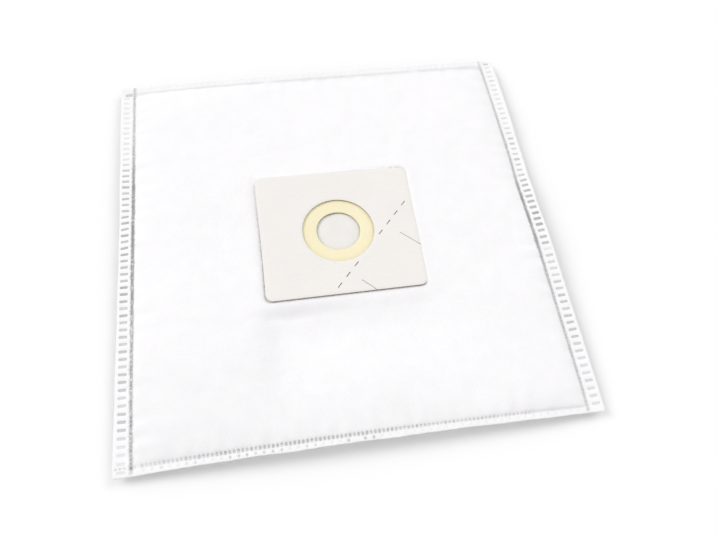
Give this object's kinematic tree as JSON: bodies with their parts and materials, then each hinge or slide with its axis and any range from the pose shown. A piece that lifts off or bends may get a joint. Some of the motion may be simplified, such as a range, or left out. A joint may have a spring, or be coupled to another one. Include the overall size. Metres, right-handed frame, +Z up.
{
  "type": "vacuum cleaner filter bag",
  "caption": "Flat disposable vacuum cleaner filter bag: two fleece panels welded round their edges, with a card collar plate and a rubber inlet seal.",
  "frame": {"origin": "middle of the bag, on the surface that its back panel lies on", "axes": "+Z up through the collar's hole; +X along the collar's longer side; +Y along its shorter side, away from the perforated corner"},
  "size_m": [0.3, 0.3, 0.0162],
  "materials": {
    "fleece": "soft matte non-woven fleece, pressed clear at the welds",
    "card": "matte light grey card with a darker grey-brown core",
    "seal_rubber": "cream latex sheet, satin"
  },
  "bodies": {
    "root": {"front_panel": "fleece", "back_panel": "fleece", "collar_plate": "card", "seal_membrane": "seal_rubber"}
  },
  "joints": []
}
